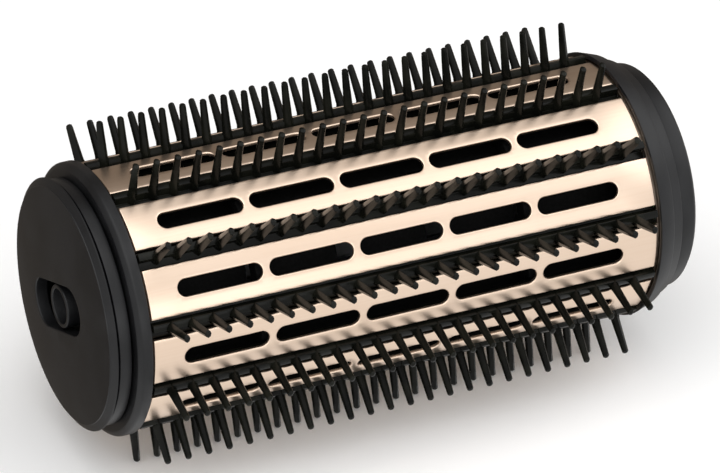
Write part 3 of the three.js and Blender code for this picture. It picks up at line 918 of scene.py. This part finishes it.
class BRUSH_HEAD_OT_drive(bpy.types.Operator):
    """Make the retaining ring and the drive socket"""
    bl_idname = "brush_head.drive"
    bl_label = "Rear Hub and Drive"

    def execute(self, context):
        sizes = context.scene.brush_drive
        front, rear = span("retaining_ring")
        half_mouth = math.asin(sizes.clip_mouth / 2 / sizes.clip_radius)
        rims = [
            (front, sizes.clip_bore), (front, sizes.clip_radius), (rear, sizes.clip_radius),
            (rear, sizes.clip_bore),
        ]
        clip = turned(
            [(along, out, sizes.clip_edge) for along, out in rims],
            turn=2 * (math.pi - half_mouth), start=half_mouth,
        )
        made(clip, "clip_ring", "steel", "barrel", "retaining_ring")

        front, rear = span("drive_socket")
        across = sizes.hexagon * math.cos(HEX / 2)

        def hexagon(along, wider):
            def station(angle):
                past_side = (angle + math.pi / 2) % HEX - HEX / 2
                return along, (across + wider) / math.cos(past_side)
            return station

        lead, edge, out = sizes.lead_in, sizes.socket_edge, sizes.socket_radius
        socket = ringed([
            hexagon(front, 0), level(front, out - edge), level(front + edge, out),
            level(rear - edge, out), level(rear, out - edge), hexagon(rear, lead), hexagon(rear - lead, 0),
        ], SOCKET_ROUND)
        made(socket, "socket_sleeve", "steel", "barrel", "drive_socket")
        return {"FINISHED"}


class BRUSH_HEAD_OT_finishes(bpy.types.Operator):
    """Give the CAD pieces that show as they are their finishes"""
    bl_idname = "brush_head.finishes"
    bl_label = "Finishes of the Inner Pieces"

    def execute(self, context):
        slots = {part["node"]: part["material_slot"] for part in frame["record"]["subparts"]}
        for name, node in frame["nodes"].items():
            for holder in node.material_slots:
                holder.material = finish_of(slots[name])
        return {"FINISHED"}


# ---------- the stage ----------
def direction(azimuth, elevation):
    """The way from the head to a light or the camera. Azimuth 0 is in front, 90 at the coupling's end."""
    a, e = math.radians(azimuth), math.radians(elevation)
    return Vector((math.sin(a) * math.cos(e), -math.cos(a) * math.cos(e), math.sin(e)))


def softbox(name, aim, azimuth, elevation, distance, width, height, power):
    """A soft light that faces aim from a direction round it."""
    data = bpy.data.lights.new(name, "AREA")
    data.shape, data.size, data.size_y, data.energy = "RECTANGLE", width, height, power
    light = bpy.data.objects.new(name, data)
    bpy.context.scene.collection.objects.link(light)
    back = direction(azimuth, elevation)
    light.location = aim + back * distance
    light.rotation_mode = "QUATERNION"
    light.rotation_quaternion = (-back).to_track_quat("-Z", "Y")


def studio_world():
    """Surroundings that are white in front of the head and above it, and dim and warm behind it."""
    world = bpy.data.worlds.new("studio")
    world.use_nodes = True
    tree = world.node_tree
    way = tree.nodes.new("ShaderNodeTexCoord").outputs["Generated"]
    split = tree.nodes.new("ShaderNodeSeparateXYZ")
    tree.links.new(way, split.inputs["Vector"])
    fade = tree.nodes.new("ShaderNodeMapRange")
    fade.interpolation_type = "SMOOTHSTEP"
    tree.links.new(split.outputs["Y"], fade.inputs["Value"])
    fade_begins, fade_ends = 0.12, 0.6    # how far back the way points
    fade.inputs["From Min"].default_value = fade_begins
    fade.inputs["From Max"].default_value = fade_ends
    mix = tree.nodes.new("ShaderNodeMix")
    mix.data_type = "RGBA"
    tree.links.new(fade.outputs["Result"], mix.inputs[0])
    bright, dim = (1.02, 1.02, 1.02, 1), (0.19, 0.165, 0.14, 1)
    mix.inputs[6].default_value, mix.inputs[7].default_value = bright, dim
    tree.links.new(mix.outputs[2], tree.nodes["Background"].inputs["Color"])
    return world


class BRUSH_HEAD_OT_stage(bpy.types.Operator):
    """Set the floor, the studio light and the camera"""
    bl_idname = "brush_head.stage"
    bl_label = "Stage"

    def execute(self, context):
        scene = context.scene
        low, high = CAD_BOX
        bm = bmesh.new()
        half_floor = 3
        bmesh.ops.create_grid(bm, x_segments=4, y_segments=4, size=half_floor)
        mesh = bpy.data.meshes.new("floor")
        bm.to_mesh(mesh)
        bm.free()
        mesh.materials.append(floor_paint(scene.brush_colours))
        floor = bpy.data.objects.new("floor", mesh)
        scene.collection.objects.link(floor)
        floor.visible_glossy = False

        scene.world = studio_world()
        middle = (low + high) / 2
        softbox("key", middle, azimuth=-50, elevation=62, distance=0.7, width=0.8, height=0.8, power=2.1)
        softbox("fill", middle, azimuth=70, elevation=40, distance=0.8, width=0.8, height=0.6, power=1.5)
        softbox("wash", middle, azimuth=-10, elevation=10, distance=0.9, width=1.2, height=0.3, power=1.4)

        azimuth, elevation, roll = -26.02, 31.21, math.radians(1.40)
        distance = 0.6948
        nudge_right, nudge_up, nudge_front = 1.31 * MM, 0.53 * MM, 0.4 * MM
        target = Vector((sum(STRIP_SPAN) / 2 - nudge_front, 0, AXIS_Z))
        back = direction(azimuth, elevation)
        data = bpy.data.cameras.new("camera")
        data.lens, data.sensor_width = 243.5, 36
        data.clip_start, data.clip_end = 0.05, 20
        camera = bpy.data.objects.new("camera", data)
        scene.collection.objects.link(camera)
        facing = (-back).to_track_quat("-Z", "Y").to_matrix() @ Matrix.Rotation(roll, 3, "Z")
        camera.rotation_mode = "QUATERNION"
        camera.rotation_quaternion = facing.to_quaternion()
        camera.location = target + back * distance + facing @ Vector((nudge_right, nudge_up, 0))
        scene.camera = camera
        scene.view_settings.view_transform = "Standard"
        return {"FINISHED"}


# ---------- the add-on ----------
GROUPS = {
    "brush_barrel": BarrelSizes,
    "brush_strips": StripSizes,
    "brush_tip": TipSizes,
    "brush_front": FrontSizes,
    "brush_coupling": CouplingSizes,
    "brush_drive": DriveSizes,
    "brush_colours": BrushColours,
}
OPERATORS = [
    BRUSH_HEAD_OT_tube,
    BRUSH_HEAD_OT_strips,
    BRUSH_HEAD_OT_tip,
    BRUSH_HEAD_OT_front,
    BRUSH_HEAD_OT_coupling,
    BRUSH_HEAD_OT_drive,
    BRUSH_HEAD_OT_finishes,
    BRUSH_HEAD_OT_stage,
]


class BRUSH_HEAD_PT_panel(bpy.types.Panel):
    """Sizes, colours and pieces of the brush head"""
    bl_idname = "BRUSH_HEAD_PT_panel"
    bl_label = "Brush Head"
    bl_space_type = "VIEW_3D"
    bl_region_type = "UI"
    bl_category = "Brush Head"

    def draw(self, context):
        for name, group in GROUPS.items():
            box = self.layout.box()
            for key in group.__annotations__:
                box.prop(getattr(context.scene, name), key)
        for operator in OPERATORS:
            self.layout.operator(operator.bl_idname)


def register():
    for cls in [*GROUPS.values(), *OPERATORS, BRUSH_HEAD_PT_panel]:
        bpy.utils.register_class(cls)
    for name, group in GROUPS.items():
        setattr(bpy.types.Scene, name, PointerProperty(type=group))


def unregister():
    for name in GROUPS:
        delattr(bpy.types.Scene, name)
    for cls in reversed([*GROUPS.values(), *OPERATORS, BRUSH_HEAD_PT_panel]):
        bpy.utils.unregister_class(cls)


def main():
    register()
    for operator in OPERATORS:
        group, name = operator.bl_idname.split(".")
        getattr(getattr(bpy.ops, group), name)()


if __name__ == "__main__":
    main()
